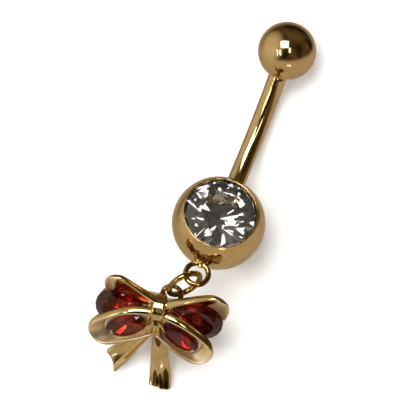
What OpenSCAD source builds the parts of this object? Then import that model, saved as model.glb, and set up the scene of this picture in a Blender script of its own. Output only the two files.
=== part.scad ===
// Navel ring: a bent bar with a fixed crystal ball and a screw ball, and a bow charm on a jump ring.
// It lies on its two balls and the bow's tails. The origin is on the surface, under the crystal ball.

/* [Barbell] */
// Diameter of the bar
bar_d = 1.6; // [1.2:0.1:1.8]
// Straight distance between the two balls
bar_length = 10; // [8:0.5:11]
// Radius that the bar is bent to
bend_r = 14; // [14:0.5:20]
// Diameter of the ball that holds the crystal
gem_ball_d = 8; // [7.8:0.1:9]
// Length of the threaded stub at the bar's end
stub_length = 2; // [1.5:0.1:2.2]
// Diameter of the threaded stub
stub_d = 1.2; // [1:0.05:1.2]

/* [Screw ball] */
// Diameter of the screw ball
top_ball_d = 5; // [4.6:0.1:6]
// Clearance around the stub and in front of the bar's end
screw_gap = 0.04; // [0.03:0.01:0.08]

/* [Crystal] */
// Diameter of the crystal's girdle
crystal_d = 6; // [5:0.1:6]
// Height of the crown above the girdle
crystal_crown = 0.85; // [0.6:0.05:1.1]
// Depth of the pavilion below the girdle
crystal_pavilion = 2.5; // [2:0.1:2.8]
// Thickness of the crystal's girdle
crystal_girdle = 0.2; // [0.1:0.05:0.3]
// Width of the ball's lip around the crystal
bezel_lip = 0.12; // [0.1:0.01:0.3]
// Clearance between a stone and its setting
stone_gap = 0.04; // [0.03:0.01:0.1]

/* [Eye and jump ring] */
// Radius of the eye on the crystal ball, to the middle of its wire
eye_r = 0.97; // [0.95:0.01:1.1]
// Diameter of the eye's wire
eye_wire_d = 0.46; // [0.3:0.02:0.5]
// Radius of the jump ring, to the middle of its wire
ring_r = 1.44; // [1.42:0.02:1.7]
// Diameter of the jump ring's wire
ring_wire_d = 0.5; // [0.3:0.02:0.54]
// Turn of the jump ring to the left, seen from above
ring_turn = 30; // [25:1:35]
// Slope of the jump ring down to the bow
ring_drop = 14; // [8:1:16]
// Roll of the jump ring about its slope
ring_roll = 63; // [60:1:70]

/* [Bow] */
// Turn of the bow to the left, seen from above
bow_turn = 10; // [0:1:15]
// Radius of the bow's bail, to the middle of its wire
bail_r = 0.8; // [0.8:0.02:0.95]
// Diameter of the bail's wire
bail_wire_d = 0.4; // [0.3:0.02:0.44]
// Thickness of the ribbons' rounded front edge
edge_d = 0.6; // [0.5:0.02:0.64]
// Thickness of the ribbons' back edge
back_edge_d = 0.3; // [0.24:0.02:0.36]
// Height of the loops' front edge above the bow's middle plane
loop_front = 1.1; // [0.9:0.05:1.4]
// Thickness of the two tails
tail_t = 0.34; // [0.28:0.02:0.44]
// Width of the knot
knot_w = 1.1; // [0.9:0.02:1.3]
// Height of the knot
knot_h = 2.15; // [1.9:0.05:2.5]

/* [Red stones] */
// Width of the pear-cut stones
pear_w = 3.6; // [3:0.1:3.8]
// Length of the pear-cut stones
pear_l = 4.8; // [4.4:0.1:5]
// Height of the pear stones' crown
pear_crown = 0.5; // [0.3:0.05:0.6]
// Depth of the pear stones' pavilion
pear_pavilion = 1.25; // [1:0.05:1.4]
// Width of the oval stones in the lower loops
oval_w = 2; // [1.6:0.1:2.1]
// Length of the oval stones
oval_l = 3.7; // [3.2:0.1:3.8]
// Height of the oval stones' crown
oval_crown = 0.3; // [0.2:0.05:0.4]
// Depth of the oval stones' pavilion
oval_pavilion = 0.55; // [0.4:0.05:0.6]
// Thickness of the red stones' girdles
red_girdle = 0.16; // [0.1:0.02:0.2]

/* [Hidden] */
$fn = 64;
eps = 0.01;

// The bar's bend, in a plane with y along the chord and z up
gem_r = gem_ball_d / 2;
top_r = top_ball_d / 2;
bar_r = bar_d / 2;
half_bend = asin(bar_length / 2 / bend_r);
gem_reach = sqrt(gem_r * gem_r - bar_r * bar_r);
top_reach = sqrt(top_r * top_r - bar_r * bar_r);
bar_start = gem_reach * [cos(half_bend), -sin(half_bend)];
bend_centre = bar_start + bend_r * [sin(half_bend), cos(half_bend)];
bar_end = bend_centre + bend_r * [sin(half_bend), -cos(half_bend)];
top_centre = bar_end + top_reach * [cos(half_bend), sin(half_bend)];
bar_overrun = 0.9;                       // how far the bar runs on into the crystal ball
overrun_angle = bar_overrun / bend_r * 180 / PI;
// Both balls touch the surface, so the bar's plane figure turns by this angle
lie_angle = -asin((gem_r - top_r) / norm(top_centre)) - atan2(top_centre[1], top_centre[0]);
entry_angle = half_bend - lie_angle;     // the bar leaves the crystal ball this far below the level

// The crystal's seat, measured from the ball's centre along the crystal's axis
crystal_r = crystal_d / 2;
rim_r = crystal_r + stone_gap + bezel_lip;
rim_height = sqrt(gem_r * gem_r - rim_r * rim_r);
girdle_sink = 0.15;                      // the girdle's top edge lies this far below the rim
girdle_top = rim_height - girdle_sink;
girdle_foot = girdle_top - crystal_girdle;
crystal_table_share = 0.55;
crystal_sides = 16;

// The eye, the jump ring through it and the bow's bail
eye_sink = 0.2;                          // the eye's wire runs this far into the ball
eye_reach = gem_r + eye_r + eye_wire_d / 2 - eye_sink;
eye_centre = [0, -eye_reach * cos(entry_angle), gem_r + eye_reach * sin(entry_angle)];
bail_centre = eye_centre + 2 * ring_r * ring_way();

// Places in the bow's own frame: x to its right, y up it, z out of its front, from the knot's middle
bail_at = [0.82, 1.06, -0.54];
knot_depth = [-1.3, 1.65];
tail_foot = [-8.65, -1.05];              // y and z of the right tail's end, which the bow leans on
lean_span = [bail_at[1] - tail_foot[0], bail_at[2] - tail_foot[1] + tail_t / 2];
bow_tilt = asin(bail_centre[2] / norm(lean_span)) - atan2(lean_span[1], lean_span[0]);
bow_origin = bail_centre - bow_way(bail_at);
loop_steps = 12;                         // sections around a loop's round end
leg_steps = 4;                           // sections along each of its legs

// The pear stones lie in the bow's plane, with the round end at this place and the point at the knot
pear_r = pear_w / 2;
pear_reach = pear_l - pear_r;
PEARS = [ // side, x, y
    [-1, 3.85, -1.45],
    [ 1, 3.70, -1.15]
];
pear_aim = [0.5, -0.25];
pear_girdle_top = -0.65;
pear_table_share = 0.62;
pear_fullness = 0.16;                    // the long sides bow out this far
seat_drop = 0.35;                        // the seat's ledge lies this far below the girdle
seat_t = 0.4;
seat_inset = 0.12;
neck_inset = 0.65;                       // the seat's neck ends this far from the stone's point
neck_d = 0.33;

// The oval stones lie inside the lower loops
OVALS = [ // side, x, y, angle
    [-1, 2.65, -2.50, -28],
    [ 1, 2.15, -2.50, -31]
];
oval_girdle_top = 0.42;
oval_table_share = 0.6;
oval_sides = 16;
floor_clear = 0.06;                      // the hole is this much wider than the stone, as a share of it
floor_t = 0.2;                           // the floors and webs that close the loops
floor_top = 0.1;
floor_inner = [[0.12, -2.15], [0.12, -0.75]];   // the floors' edge under the knot
web_gap = 0.06;

// The loops: where the front edge's round end lies, its radius, and how far its legs bow outwards
UPPER_LOOPS = [ // side, root_y, x, y, radius, bulge, tuck_angle
    [-1, 0.90, 3.65, 1.75, 1.05, 0.10, 68],
    [ 1, 0.45, 4.55, 1.35, 1.30, 0.15, 29]
];
LOWER_LOOPS = [ // side, root_y, foot_y, x, y, radius, top_bulge, foot_bulge
    [-1, -0.30, -2.30, 4.37, -2.85, 1.28, 0.55, 0.05],
    [ 1, -0.40, -2.40, 3.85, -3.00, 1.23, 0.40, 0.05]
];
root_x = 0.2;
upper_clear = 0.06;
knot_middle = 0.2;
upper_back_bulge = 0.15;
upper_back = -0.35;                      // depth of the upper loops' back edge
lower_back = 0.12;                       // height of the lower loops' back edge
lower_clear = 0.1;
lower_foot_clear = 0.27;                 // the back edge's foot leg bows out this much more, past the stone
tuck_drop = 0.95;                        // the upper loops' front edge comes down this far

// The tails: both long edges, from the knot to the cut end
tail_crease = 0.16;                      // the middle line stands this far proud
RIGHT_TAIL = [ // left_x, left_y, right_x, right_y, z
    [-0.40, -0.90, 0.28, -0.90,  0.75],
    [-0.42, -2.20, 0.36, -2.20,  0.30],
    [-0.40, -3.50, 0.90, -3.50, -0.35],
    [-0.36, -4.90, 1.15, -4.90, -0.80],
    [-0.28, -6.30, 1.42, -6.30, -1.00],
    [-0.18, -7.60, 1.72, -7.60, -1.05],
    [-0.08, -8.65, 1.85, -8.65, -1.05]
];
LEFT_TAIL = [ // left_x, left_y, right_x, right_y, z
    [-0.40, -0.90,  0.28, -1.10,  0.70],
    [-0.95, -2.20, -0.15, -2.60,  0.15],
    [-1.55, -3.45, -0.65, -3.95, -0.55],
    [-2.50, -4.65, -1.30, -5.30, -1.00],
    [-3.40, -5.55, -2.05, -6.80, -1.15],
    [-4.20, -6.40, -3.20, -8.45, -1.15]
];
// The folds under the knot: how far they spread, then y, z and diameter along each
fold_x = [-0.45, -0.1, 0.25];
FOLDS = [ // spread, y, z, diameter
    [0.6, -0.55, 0.75, 0.50],
    [1.5, -1.60, 0.85, 0.56],
    [1.7, -2.42, 0.60, 0.50]
];

function turn_x(a, p) = [p[0], p[1] * cos(a) - p[2] * sin(a), p[1] * sin(a) + p[2] * cos(a)];
function turn_z(a, p) = [p[0] * cos(a) - p[1] * sin(a), p[0] * sin(a) + p[1] * cos(a), p[2]];
function ring_way() = turn_z(-ring_turn, turn_x(ring_drop, [0, -1, 0]));
function bow_way(p) = turn_z(bow_turn, turn_x(bow_tilt, p));
function mix(a, b, s) = a + (b - a) * s;

module in_bar_plane() {
    translate([0, 0, gem_r]) rotate([lie_angle, 0, 0]) children();
}

module at_crystal() {
    translate([0, 0, gem_r]) rotate([-entry_angle, 0, 0]) children();
}

// The frame at the bar's far end, with z along the bar and out of it
module at_bar_end() {
    in_bar_plane() translate([0, bar_end[0], bar_end[1]]) rotate([half_bend - 90, 0, 0]) children();
}

module in_bow() {
    translate(bow_origin) rotate([0, 0, bow_turn]) rotate([bow_tilt, 0, 0]) children();
}

module wire_ring(r, wire_d) {
    rotate_extrude() translate([r, 0]) circle(d = wire_d);
}

// What is cut out of the ball for the crystal, as one turned form
module crystal_seat() {
    seat_r = crystal_r + stone_gap;
    foot = girdle_foot - stone_gap;
    cup_r = 2 * gem_r;
    rotate_extrude() polygon([
        [0, foot - crystal_pavilion - stone_gap],
        [stone_gap, foot - crystal_pavilion - stone_gap],
        [seat_r, foot],
        [seat_r, rim_height],
        [cup_r, rim_height],
        [cup_r, cup_r],
        [0, cup_r]
    ]);
}

module barbell() {
    color("goldenrod") union() {
        difference() {
            translate([0, 0, gem_r]) sphere(r = gem_r);
            at_crystal() crystal_seat();
        }
        in_bar_plane() translate([0, bend_centre[0], bend_centre[1]]) rotate([90, 0, 90])
            rotate([0, 0, -90 - half_bend - overrun_angle])
            rotate_extrude(angle = 2 * half_bend + overrun_angle) translate([bend_r, 0]) circle(r = bar_r);
        at_bar_end() translate([0, 0, -bar_r]) cylinder(d = stub_d, h = bar_r + stub_length);
        translate(eye_centre) rotate([-entry_angle, 0, 0]) wire_ring(eye_r, eye_wire_d);
    }
}

module screw_ball() {
    bore_r = stub_d / 2 + screw_gap;
    color("darkgoldenrod") at_bar_end() difference() {
        translate([0, 0, top_reach]) sphere(r = top_r);
        translate([-top_r, -top_r, screw_gap - top_ball_d]) cube(top_ball_d);
        translate([0, 0, -screw_gap]) cylinder(r = bore_r, h = stub_length + 3 * screw_gap);
    }
}

function ring_points(r, n, z, start = 0) = [for (i = [0:n - 1])
    let (a = start + i * 360 / n) [r * cos(a), r * sin(a), z]];

// A stone as the convex solid around its corner points
module cut_stone(corners) {
    hull() polyhedron(corners, [[for (i = [0:len(corners) - 1]) i]]);
}

module crystal() {
    half = 180 / crystal_sides;
    table_r = crystal_r * crystal_table_share;
    mid_r = mix(table_r, crystal_r, 0.45);
    mid_z = mix(girdle_top, girdle_top + crystal_crown, 0.66);
    color("white") at_crystal() cut_stone(concat(
        ring_points(table_r, crystal_sides / 2, girdle_top + crystal_crown),
        ring_points(mid_r, crystal_sides / 2, mid_z, 2 * half),
        ring_points(crystal_r, crystal_sides, girdle_top, half),
        ring_points(crystal_r, crystal_sides, girdle_foot, half),
        [[0, 0, girdle_foot - crystal_pavilion]]
    ));
}

module jump_ring() {
    color("gold") translate(eye_centre) rotate([0, 0, -ring_turn]) rotate([ring_drop, 0, 0])
        rotate([0, ring_roll, 0]) translate([0, -ring_r, 0]) wire_ring(ring_r, ring_wire_d);
}

// A pear's outline: a circle at the origin, a point on the x axis and full sides between them
function pear_outline(k = 1) = let (
        open = acos(pear_r / pear_reach),
        point = [pear_reach, 0],
        left = round_point([0, 0], pear_r, open),
        side = leg(point, left, -pear_fullness, 3, 0),
        arc_steps = 12)
    k * concat(side, [for (i = [0:arc_steps]) round_point([0, 0], pear_r, mix(open, 360 - open, i / arc_steps))],
        [for (i = [2, 1]) [side[i][0], -side[i][1]]]);

function pear_ring(k, z) = [for (p = pear_outline(k)) [p[0], p[1], z]];

module at_pear(row) {
    x = row[0] * row[1];
    translate([x, row[2], 0]) rotate([0, 0, atan2(pear_aim[1] - row[2], row[0] * pear_aim[0] - x)]) children();
}

module pear_stone(row) {
    crown = pear_girdle_top + pear_crown;
    foot = pear_girdle_top - red_girdle;
    color("darkred") in_bow() at_pear(row) cut_stone(concat(
        pear_ring(pear_table_share, crown), pear_ring(1, pear_girdle_top), pear_ring(1, foot),
        [[0, 0, foot - pear_pavilion]]
    ));
}

function oval_outline() = [for (i = [0:oval_sides - 1]) let (a = (i + 0.5) * 360 / oval_sides)
    [oval_l / 2 * cos(a), oval_w / 2 * sin(a)]];

module oval_stone(row) {
    foot = oval_girdle_top - red_girdle;
    rings = [[oval_table_share, oval_girdle_top + oval_crown], [1, oval_girdle_top], [1, foot]];
    color("darkred") in_bow() translate([row[0] * row[1], row[2], 0]) rotate([0, 0, row[0] * row[3]])
        cut_stone(concat(
            [for (ring = rings, p = oval_outline()) [ring[0] * p[0], ring[0] * p[1], ring[1]]],
            [[0, 0, foot - oval_pavilion]]
        ));
}

module pear_seat(row) {
    top = pear_girdle_top - red_girdle - seat_drop;
    inner = 1 - seat_drop / pear_pavilion + stone_gap / pear_r;
    outer = 1 - seat_inset / pear_r;
    at_pear(row) translate([0, 0, top - seat_t]) difference() {
        linear_extrude(seat_t) polygon(pear_outline(outer));
        translate([0, 0, -eps]) linear_extrude(seat_t + 2 * eps) polygon(pear_outline(inner));
    }
}

// The angle at which a straight leg from root touches a circle, on its upper (1) or lower (-1) side
function touch_angle(root, centre, r, side) = let (way = centre - root)
    atan2(way[1], way[0]) + side * (90 + asin(r / norm(way)));

function round_point(centre, r, a) = centre + r * [cos(a), sin(a)];

// Points on a leg from a to b, bowed sideways in the middle
function leg(a, b, bulge, count, first = 0) = let (out = [a[1] - b[1], b[0] - a[0]] / norm(b - a))
    [for (i = [first:count - 1 + first]) let (s = i / count) mix(a, b, s) + out * bulge * 4 * s * (1 - s)];

// Out along one leg, round the end, and back along the other leg
function leaf(root, foot_root, centre, r, bulges) = let (
        from = touch_angle(root, centre, r, 1),
        foot = touch_angle(foot_root, centre, r, -1))
    concat(
        leg(root, round_point(centre, r, from), bulges[0], leg_steps),
        [for (i = [0:loop_steps]) round_point(centre, r, mix(from, foot, i / loop_steps))],
        leg(round_point(centre, r, foot), foot_root, bulges[1], leg_steps, 1)
    );

function unit(v) = v / norm(v);
function raise(points, heights) = [for (i = [0:len(points) - 1]) [points[i][0], points[i][1], heights[i]]];

// A closed solid through a list of sections that have as many corners each
module loft(sections) {
    n = len(sections);
    m = len(sections[0]);
    points = [for (s = sections) each s];
    sides = [for (i = [0:n - 2], j = [0:m - 1]) let (
            a = i * m + j, b = i * m + (j + 1) % m, c = b + m, d = a + m)
        each [[a, b, c], [a, c, d]]];
    polyhedron(points, concat(sides, [[for (j = [m - 1:-1:0]) j]], [[for (j = [0:m - 1]) (n - 1) * m + j]]));
}

// One section of a ribbon: a strip from front to back with round edges, square to the way it runs
function ribbon_section(front, back, way) = let (
        wide = unit(front - back),
        thick = unit(cross(way, wide)))
    [for (k = [0:7]) let (
            at = k < 4 ? front : back,
            r = (k < 4 ? edge_d : back_edge_d) / 2,
            a = 90 - (k < 4 ? k : k - 1) * 60)
        at + r * (cos(a) * wide + sin(a) * thick)];

module ribbon(front, back) {
    last = len(front) - 1;
    middle = [for (i = [0:last]) (front[i] + back[i]) / 2];
    loft([for (i = [0:last])
        ribbon_section(front[i], back[i], unit(middle[min(i + 1, last)] - middle[max(i - 1, 0)]))]);
}

// A thin web closes an upper loop between its back edge and the stone's long side
module upper_web(path, pear) {
    centre = [pear[1], pear[2]];
    translate([0, 0, upper_back - floor_t / 2]) linear_extrude(floor_t) difference() {
        polygon(concat(path, [centre, pear_aim - [0.3, 0.1]]));
        translate(centre) rotate(atan2(pear_aim[1] - pear[2], pear_aim[0] - pear[1]))
            offset(delta = web_gap) polygon(pear_outline());
    }
}

// An upper loop's back edge runs along the stone's round end, and its front edge comes down to it there
module upper_loop(row) {
    pear = PEARS[row[0] < 0 ? 0 : 1];
    centre = [pear[1], pear[2]];
    wrap_r = pear_r + stone_gap + back_edge_d / 2 + upper_clear;
    root = [root_x, row[1]];
    back_root = root - [0, 0.1];
    from = touch_angle(back_root, centre, wrap_r, 1);
    steps = loop_steps + leg_steps;
    front = leaf(root, round_point(centre, wrap_r, row[6]), [row[2], row[3]], row[4], [row[5], 0]);
    back = concat(
        leg(back_root, round_point(centre, wrap_r, from), upper_back_bulge, leg_steps),
        [for (i = [0:steps]) round_point(centre, wrap_r, mix(from, row[6], i / steps))]
    );
    last = len(front) - 1;
    // The front edge stays level and then comes down over its last part
    dip = [for (i = [0:last]) let (s = max(0, (i / last - 0.55) / 0.45)) s * s];
    ribbon(raise(front, [for (s = dip) loop_front - tuck_drop * s]), raise(back, [for (s = dip) upper_back]));
    upper_web([for (i = [0:leg_steps]) back[i]], pear);
}

// A thin floor closes a lower loop's back, and the oval stone's pavilion shows through a hole in it
module lower_floor(path, oval) {
    hole = 1 - (oval_girdle_top - red_girdle - floor_top) / oval_pavilion + floor_clear;
    translate([0, 0, floor_top - floor_t]) linear_extrude(floor_t) difference() {
        polygon(concat([for (i = [1:len(path) - 2]) path[i]], floor_inner));
        translate([oval[1], oval[2]]) rotate(oval[3]) scale(hole) polygon(oval_outline());
    }
}

// The lower loops' back edge runs around the oval stone
module lower_loop(row) {
    oval = OVALS[row[0] < 0 ? 0 : 1];
    reach = (oval_l - oval_w) / 2;
    end_centre = [oval[1], oval[2]] + reach * [cos(oval[3]), sin(oval[3])];
    end_r = oval_w / 2 + stone_gap + back_edge_d / 2 + lower_clear;
    roots = [[root_x, row[1]], [root_x, row[2]]];
    bulges = [row[6], row[7]];
    front = leaf(roots[0], roots[1], [row[3], row[4]], row[5], bulges);
    back = leaf(roots[0], roots[1], end_centre, end_r, bulges + [0, lower_foot_clear]);
    ribbon([for (p = front) [p[0], p[1], loop_front]], [for (p = back) [p[0], p[1], lower_back]]);
    lower_floor(back, oval);
}

// A tail's section: two thin edges and a crease that stands proud between them
function tail_section(row) = let (
        left = [row[0], row[1], row[4]],
        right = [row[2], row[3], row[4]],
        middle = (left + right) / 2 + [0, 0, tail_crease],
        up = [0, 0, tail_t / 2],
        out = unit(right - left) * tail_t / 3)
    [left - up, left - out, left + up, middle + up, right + up, right + out, right - up, middle - up];

module tail(rows) {
    loft([for (row = rows) tail_section(row)]);
}

module knot() {
    round_d = 0.8;
    half_w = (knot_w - round_d) / 2;
    low = knot_middle - (knot_h - round_d) / 2;
    high = knot_middle + (knot_h - round_d) / 2;
    shoulder = 0.3;                      // the band is rounder in front than at its sides
    hull() for (x = [-half_w, half_w], y = [low, high], z = [knot_depth[0] + round_d / 2, 0.65])
        translate([x, y, z]) sphere(d = round_d, $fn = 16);
    hull() for (x = [-half_w, half_w], y = [low + shoulder, high - shoulder], z = [0, knot_depth[1] - round_d / 2])
        translate([x, y, z]) sphere(d = round_d, $fn = 16);
}

// The neck that joins a stone's seat to the knot's back
module seat_neck(row) {
    x = row[0] * row[1];
    z = pear_girdle_top - red_girdle - seat_drop - seat_t / 2;
    aim = [row[0] * pear_aim[0], pear_aim[1]];
    tip = mix([x, row[2]], aim, (pear_reach - neck_inset) / norm(aim - [x, row[2]]));
    hull() {
        translate([0, knot_middle, z]) sphere(d = neck_d, $fn = 12);
        translate([tip[0], tip[1], z]) sphere(d = neck_d, $fn = 12);
    }
}

// The folds where both tails come out from under the knot
module gather() {
    for (x = fold_x) hull() for (row = FOLDS)
        translate([x * row[0], row[1], row[2]]) sphere(d = row[3], $fn = 12);
}

module bail() {
    translate(bail_at) rotate_extrude($fn = 24) translate([bail_r, 0]) circle(d = bail_wire_d, $fn = 8);
    hull() for (p = [[0.1, 0.35, bail_at[2]], [bail_at[0] - bail_r * 0.55, bail_at[1] - bail_r * 0.75, bail_at[2]]])
        translate(p) sphere(d = bail_wire_d * 1.1, $fn = 12);
}

module facing(side) {
    if (side < 0) mirror([1, 0, 0]) children();
    else children();
}

module bow() {
    color("gold") in_bow() union() {
        for (row = UPPER_LOOPS) facing(row[0]) upper_loop(row);
        for (row = LOWER_LOOPS) facing(row[0]) lower_loop(row);
        for (row = PEARS) {
            pear_seat(row);
            seat_neck(row);
        }
        tail(RIGHT_TAIL);
        tail(LEFT_TAIL);
        knot();
        gather();
        bail();
    }
}

barbell();
screw_ball();
crystal();
jump_ring();
bow();
pear_stone(PEARS[0]);  // upper_stone_left
pear_stone(PEARS[1]);  // upper_stone_right
oval_stone(OVALS[0]);  // lower_stone_left
oval_stone(OVALS[1]);  // lower_stone_right
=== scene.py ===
"""Navel ring: a gold bar with a clear stone, a screw ball, and a ribbon bow with dark red stones."""
import math

import bmesh
import bpy
import numpy as np
from bpy.props import FloatProperty, IntProperty, PointerProperty, StringProperty
from mathutils import Matrix, Vector, noise


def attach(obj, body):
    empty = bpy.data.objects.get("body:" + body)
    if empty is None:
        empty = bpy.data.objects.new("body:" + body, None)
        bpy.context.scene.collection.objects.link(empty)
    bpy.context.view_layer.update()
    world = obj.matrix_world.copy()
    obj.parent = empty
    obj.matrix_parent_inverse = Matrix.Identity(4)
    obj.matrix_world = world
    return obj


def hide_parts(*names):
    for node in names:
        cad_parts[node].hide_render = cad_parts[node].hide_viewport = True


bl_info = {
    "name": "Navel ring with ribbon bow",
    "version": (1, 0, 0),
    "blender": (4, 5, 0),
    "location": "View3D > Sidebar > Navel Ring",
    "description": "Builds a gold navel ring with a clear stone and a ribbon bow charm",
    "category": "Object",
}

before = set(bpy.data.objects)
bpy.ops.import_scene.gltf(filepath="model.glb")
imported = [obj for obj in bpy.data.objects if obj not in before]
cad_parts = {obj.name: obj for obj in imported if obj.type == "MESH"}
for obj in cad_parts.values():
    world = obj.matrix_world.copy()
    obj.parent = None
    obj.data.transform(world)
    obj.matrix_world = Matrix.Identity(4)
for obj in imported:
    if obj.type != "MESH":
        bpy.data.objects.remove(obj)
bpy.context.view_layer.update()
MM = 0.001


# Settings

def length(name, description, mm):
    return FloatProperty(name=name, description=description, default=mm * MM, unit="LENGTH", precision=5)


def hex_colour(name, description, default):
    return StringProperty(name=name, description=description + ", as an sRGB hex value", default=default)


class NavelRingBar(bpy.types.PropertyGroup):
    bar_d: length("Bar diameter", "Gauge of the bar that goes through the skin", 1.6)
    bar_length: length("Bar length", "Straight distance between the two balls", 10)
    bend_r: length("Bend radius", "Radius that the bar is bent to", 14)
    gem_ball_d: length("Stone ball diameter", "Diameter of the ball that holds the clear stone", 8)
    top_ball_d: length("Screw ball diameter", "Diameter of the ball that unscrews", 5)
    stub_length: length("Thread length", "Length of the threaded stub", 2)
    stub_d: length("Thread diameter", "Outer diameter of the thread", 1.2)
    thread_pitch: length("Thread pitch", "Distance from one thread to the next", 0.3)
    screw_gap: length("Screw clearance", "Clearance around the stub and in front of the bar's end", 0.04)
    eye_r: length("Eye radius", "Radius of the eye on the ball, to the middle of its wire", 0.97)
    eye_wire_d: length("Eye wire", "Diameter of the eye's wire", 0.46)
    ring_r: length("Jump ring radius", "Radius of the jump ring, to the middle of its wire", 1.44)
    ring_wire_d: length("Jump ring wire", "Diameter of the jump ring's wire", 0.5)


class NavelRingStones(bpy.types.PropertyGroup):
    crystal_d: length("Crystal diameter", "Diameter of the clear stone's girdle", 6)
    crystal_crown: length("Crystal crown", "Height of the clear stone's crown", 0.85)
    crystal_pavilion: length("Crystal pavilion", "Depth of the clear stone's pavilion", 2.5)
    crystal_girdle: length("Crystal girdle", "Thickness of the clear stone's girdle", 0.2)
    bezel_lip: length("Bezel lip", "Width of the ball's lip around the clear stone", 0.12)
    stone_gap: length("Stone clearance", "Clearance between a stone and its setting", 0.04)
    pear_w: length("Pear width", "Width of the upper red stones", 3.6)
    pear_l: length("Pear length", "Length of the upper red stones", 4.8)
    oval_w: length("Oval width", "Width of the lower red stones", 2)
    oval_l: length("Oval length", "Length of the lower red stones", 3.7)


class NavelRingBow(bpy.types.PropertyGroup):
    bow_turn: FloatProperty(name="Bow turn", description="Turn of the bow to the left, seen from above",
                            default=math.radians(10), subtype="ANGLE")
    edge_d: length("Front edge", "Thickness of the ribbons' rounded front edge", 0.6)
    back_edge_d: length("Back edge", "Thickness of the ribbons' back edge", 0.3)
    loop_front: length("Loop height", "Height of the loops' front edge above the bow's middle plane", 1.1)
    tail_t: length("Tail thickness", "Thickness of the two tails", 0.34)
    bail_r: length("Bail radius", "Radius of the bow's bail, to the middle of its wire", 0.8)
    bail_wire_d: length("Bail wire", "Diameter of the bail's wire", 0.4)
    hammering: length("Unevenness", "How far the cast surface of the bow waves", 0.012)


class NavelRingFinish(bpy.types.PropertyGroup):
    gold: hex_colour("Gold", "Colour of the polished plating", "#E0C18C")
    gold_deep: hex_colour("Deep gold", "Colour of the plating where it is thicker", "#CCAC76")
    pale: hex_colour("Pale gold", "Colour of the bow's lighter plating", "#E4C892")
    pale_deep: hex_colour("Deep pale gold", "Colour of the bow's plating where it is thicker", "#CEB076")
    clear: hex_colour("Clear glass", "Colour of the clear stone", "#FAFAFA")
    red: hex_colour("Red glass", "Colour of the red stones", "#C21616")
    # painted glint: an orange colour painted into the red glass round one point of the lower left stone, in place
    # of the light thrown back through it
    painted_glint: hex_colour("Warm light", "Colour of the light that one red stone throws back", "#FF7A22")
    # partly painted sheen: the as-cast gold is really rougher, and its near-white colour is painted lighter than
    # the plating so the loops' inner sides show bright
    satin_and_painted_sheen: hex_colour("As-cast gold", "Colour of the loops' inner sides", "#FFF0D2")
    satin_and_painted_sheen_deep: hex_colour("Deep as-cast gold", "Their colour where the plating is thicker", "#F6DEB2")
    # painted reflection: the red of the stones beside the webs is painted into this gold, in lighter and darker
    # patches
    painted_red_reflection: hex_colour("Lit gold", "Colour of the gold beside a red stone", "#96402A")
    painted_red_reflection_deep: hex_colour("Deep lit gold", "Its colour where less light comes through the stone", "#621F17")
    # painted shade: a dark olive painted on the right tail in bands along its flutes and in a patch under the
    # folds, standing in for the shade and dark reflections there
    painted_shade: hex_colour("Flute", "Colour of the casting down in the tail's flutes", "#6A5630")
    painted_shade_deep: hex_colour("Deep flute", "Its colour at their deepest", "#3E3018")
    wire: hex_colour("Wire", "Colour of the plated wire", "#B8985E")
    wire_deep: hex_colour("Deep wire", "Its colour where the plating is thicker", "#94743E")
    foil: hex_colour("Foil", "Colour of the silvered backs of the stones", "#BCBCBA")
    floor: hex_colour("Floor", "Colour of the floor", "#F7F7F6")


class NavelRingStage(bpy.types.PropertyGroup):
    lens: FloatProperty(name="Lens", description="Focal length of the camera in millimetres", default=210.9)
    distance: length("Camera distance", "Distance from the camera to the ring", 200)
    key: FloatProperty(name="Window", description="Brightness of the window above, in W/(sr m2)", default=9.0)
    ceiling: FloatProperty(name="Ceiling", description="Brightness of the card above the floor", default=1.3)
    strip: FloatProperty(name="Bench strip", description="Brightness of the thin strip low in front", default=5.0)
    shadow: FloatProperty(name="Shadow panel", description="Brightness of the shadow's panel", default=10.0)
    rounds: IntProperty(name="Round steps", description="Steps round a ball", default=128, min=32, max=256)


# Places, in millimetres, worked out from the same sizes as the part's own

BAIL_AT = np.array([0.82, 1.06, -0.54])
TAIL_FOOT = (-8.65, -1.05)                   # y and height of the tails' end
RING_TURN, RING_DROP, RING_ROLL = 30, 14, 63
EYE_SUNK = 0.2                               # how far the eye is let into the ball
GIRDLE_DROP = 0.15                           # from the ball's rim down to the clear stone's girdle
ROOT_X = 0.2                                 # where the loops start under the knot
PEARS = {-1: (3.85, -1.45), 1: (3.70, -1.15)}            # side: x, y
PEAR_AIM = (0.5, -0.25)                                  # where both upper stones point
OVALS = {-1: (2.65, -2.50, -28), 1: (2.15, -2.50, -31)}  # side: x, y, angle
# table's share of the width, crown, girdle's top, girdle and pavilion
PEAR_CUT = (0.62, 0.5, -0.65, 0.16, 1.25)
OVAL_CUT = (0.6, 0.3, 0.42, 0.16, 0.55)
# side, root y, then the round end's x, y and radius, how far the leg bows out, angle of its end
UPPER_LOOPS = [(-1, 0.90, 3.65, 1.75, 1.05, 0.10, 68),
               (1, 0.45, 4.55, 1.35, 1.30, 0.15, 29)]
# side, root y, foot y, then the round end's x, y and radius, how far the two legs bow out
LOWER_LOOPS = [(-1, -0.30, -2.30, 4.37, -2.85, 1.28, 0.55, 0.05),
               (1, -0.40, -2.40, 3.85, -3.00, 1.23, 0.40, 0.05)]
# room round the stone, height of the back edge, how far its first leg bows out
UPPER_CLEAR, UPPER_BACK, UPPER_BACK_BULGE = 0.06, -0.35, 0.15
# room round the stone, height of the back edge, how much further its lower leg bows out
LOWER_CLEAR, LOWER_BACK, LOWER_FOOT_CLEAR = 0.1, 0.12, 0.27
FLOOR_TOP, FLOOR_THICK, FLOOR_CLEAR = 0.1, 0.2, 0.06
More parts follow.
